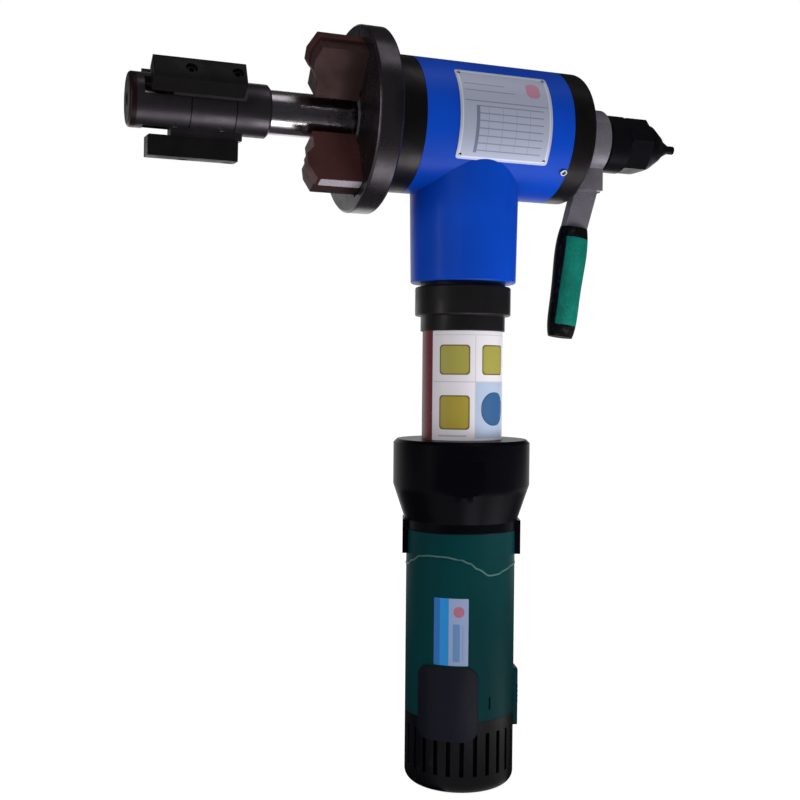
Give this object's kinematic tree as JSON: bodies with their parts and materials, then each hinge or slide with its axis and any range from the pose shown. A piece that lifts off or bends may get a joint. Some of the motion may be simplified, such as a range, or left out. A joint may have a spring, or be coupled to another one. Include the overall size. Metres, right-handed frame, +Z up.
{
  "type": "pipe beveling machine",
  "caption": "Internally clamped electric pipe beveling machine: expanding jaw mandrel, slotted cutter disc, bevel gear housing, ratchet feed lever and a hanging motor with a vented cap.",
  "frame": {"origin": "middle of the clamping jaws on the spindle axis", "axes": "+X along the spindle from the jaws to the draw nut, +Z up, the motor hangs along -Z"},
  "size_m": [0.4218, 0.129, 0.5398],
  "materials": {
    "head_steel": "blued, satin",
    "shaft_steel": "polished",
    "ground_steel": "ground",
    "ramp_steel": "ground",
    "jaw_steel": "blued, satin",
    "shoe_steel": "blued, serrated",
    "nut_steel": "black oxide",
    "blue_paint": "gloss enamel",
    "ring_steel": "black oxide",
    "seal_rubber": "matt",
    "screw_steel": "plain",
    "bearing_steel": "ground",
    "gear_steel": "machined",
    "spindle_steel": "machined",
    "cutter_steel": "blued, oily",
    "bush_bronze": "machined",
    "ratchet_steel": "machined",
    "lever_chrome": "satin chrome",
    "grip_black": "matt",
    "grip_green": "matt",
    "coupling_steel": "black oxide",
    "tube_paint": "satin",
    "gearcase_paint": "satin",
    "collar_paint": "satin",
    "shell_plastic": "satin",
    "cover_plastic": "fine grain",
    "core_steel": "stacked sheets",
    "copper": "turned",
    "brush_carbon": "matt",
    "fan_plastic": "matt",
    "cap_plastic": "fine grain"
  },
  "bodies": {
    "mandrel": {"mandrel_head": "head_steel", "mandrel_cap": "head_steel", "mandrel_shaft": "shaft_steel"},
    "drawbar": {"drawbar": "ground_steel", "wedge": "ramp_steel"},
    "jaw_1": {"jaw_foot_1": "jaw_steel", "jaw_shoe_1": "shoe_steel"},
    "jaw_2": {"jaw_foot_2": "jaw_steel", "jaw_shoe_2": "shoe_steel"},
    "jaw_3": {"jaw_foot_3": "jaw_steel", "jaw_shoe_3": "shoe_steel"},
    "draw_nut": {"draw_nut": "nut_steel"},
    "housing": {"gear_housing": "blue_paint", "front_ring": "ring_steel", "oil_seal": "seal_rubber", "rear_ring": "ring_steel", "ring_screws": "screw_steel", "bearing_outer_rings": "bearing_steel", "guide_sleeve": "bush_bronze", "feed_retainer": "ring_steel", "drive_bushes": "bush_bronze", "neck_ring": "coupling_steel", "coupling_nut": "coupling_steel", "extension_tube": "tube_paint", "gearcase": "gearcase_paint", "ring_gear": "gear_steel", "motor_collar": "collar_paint", "motor_bearings": "bearing_steel", "motor_shell": "shell_plastic", "stator": "core_steel", "brush_covers": "cover_plastic", "brushes": "brush_carbon", "rear_cap": "cap_plastic"},
    "cutter_spindle": {"spindle": "spindle_steel", "spindle_nut": "spindle_steel", "crown_gear": "gear_steel", "cutter_disc": "cutter_steel", "disc_screws": "screw_steel", "tool_bits": "cutter_steel", "tool_clamps": "cutter_steel", "bearing_inner_rings": "bearing_steel", "bearing_rollers": "bearing_steel"},
    "feed_nut": {"feed_nut": "ratchet_steel", "ratchet_wheel": "ratchet_steel"},
    "lever": {"ratchet_lever": "lever_chrome", "grip_core": "grip_black", "grip_cover": "grip_green"},
    "pawl": {"pawl": "ratchet_steel"},
    "drive_line": {"bevel_pinion": "gear_steel", "drive_shaft": "spindle_steel", "planet_carrier": "gear_steel"},
    "planet_1": {"planet_1": "gear_steel"},
    "planet_2": {"planet_2": "gear_steel"},
    "planet_3": {"planet_3": "gear_steel"},
    "armature": {"armature_shaft": "spindle_steel", "armature_core": "core_steel", "commutator": "copper", "fan": "fan_plastic"},
    "switch_slider": {"switch_slider": "cover_plastic"}
  },
  "joints": [
    {"name": "draw_nut_turn", "type": "hinge", "parent": "mandrel", "child": "draw_nut", "pos_m": [0.33, 0, 0], "axis": [1, 0, 0], "range_deg": [0, 2521]},
    {"name": "drawbar_slide", "type": "slide", "parent": "mandrel", "child": "drawbar", "axis": [1, 0, 0], "range_m": [0, 0.014]},
    {"name": "jaw_1_slide", "type": "slide", "parent": "mandrel", "child": "jaw_1", "axis": [0, -0.9063, 0.4226], "range_m": [0, 0.00309]},
    {"name": "jaw_2_slide", "type": "slide", "parent": "mandrel", "child": "jaw_2", "axis": [0, 0.0872, -0.9962], "range_m": [0, 0.00309]},
    {"name": "jaw_3_slide", "type": "slide", "parent": "mandrel", "child": "jaw_3", "axis": [0, 0.8192, 0.5736], "range_m": [0, 0.00309]},
    {"name": "feed_slide", "type": "slide", "parent": "mandrel", "child": "housing", "axis": [-1, 0, 0], "range_m": [0, 0.025]},
    {"name": "feed_nut_turn", "type": "hinge", "parent": "housing", "child": "feed_nut", "pos_m": [0.3, 0, 0], "axis": [1, 0, 0], "range_deg": [0, 3001]},
    {"name": "ratchet_swing", "type": "hinge", "parent": "housing", "child": "lever", "pos_m": [0.299, 0, 0], "axis": [1, 0, 0], "continuous": true},
    {"name": "pawl_swing", "type": "hinge", "parent": "lever", "child": "pawl", "pos_m": [0.299, 0, -0.029], "axis": [1, 0, 0], "range_deg": [-8, 8]},
    {"name": "spindle_spin", "type": "hinge", "parent": "housing", "child": "cutter_spindle", "pos_m": [0.199, 0, 0], "axis": [1, 0, 0], "continuous": true},
    {"name": "pinion_spin", "type": "hinge", "parent": "housing", "child": "drive_line", "pos_m": [0.199, 0, -0.1], "axis": [0, 0, 1], "continuous": true},
    {"name": "planet_1_spin", "type": "hinge", "parent": "drive_line", "child": "planet_1", "pos_m": [0.199, 0.01875, -0.244], "axis": [0, 0, 1], "continuous": true},
    {"name": "planet_2_spin", "type": "hinge", "parent": "drive_line", "child": "planet_2", "pos_m": [0.18276, -0.00937, -0.244], "axis": [0, 0, 1], "continuous": true},
    {"name": "planet_3_spin", "type": "hinge", "parent": "drive_line", "child": "planet_3", "pos_m": [0.21524, -0.00937, -0.244], "axis": [0, 0, 1], "continuous": true},
    {"name": "armature_spin", "type": "hinge", "parent": "housing", "child": "armature", "pos_m": [0.199, 0, -0.33], "axis": [0, 0, 1], "continuous": true},
    {"name": "switch_slide", "type": "slide", "parent": "housing", "child": "switch_slider", "axis": [0, 0, 1], "range_m": [0, 0.008]}
  ],
  "couplings": [
    {"joint": "draw_nut_turn", "follows": "drawbar_slide", "rad_per_m": 3141.6},
    {"joint": "jaw_1_slide", "follows": "drawbar_slide", "ratio": 0.22},
    {"joint": "jaw_2_slide", "follows": "drawbar_slide", "ratio": 0.22},
    {"joint": "jaw_3_slide", "follows": "drawbar_slide", "ratio": 0.22},
    {"joint": "feed_nut_turn", "follows": "feed_slide", "rad_per_m": 2094.4},
    {"joint": "pinion_spin", "follows": "spindle_spin", "ratio": 3},
    {"joint": "planet_1_spin", "follows": "spindle_spin", "ratio": -8},
    {"joint": "planet_2_spin", "follows": "spindle_spin", "ratio": -8},
    {"joint": "planet_3_spin", "follows": "spindle_spin", "ratio": -8},
    {"joint": "armature_spin", "follows": "spindle_spin", "ratio": 15}
  ]
}
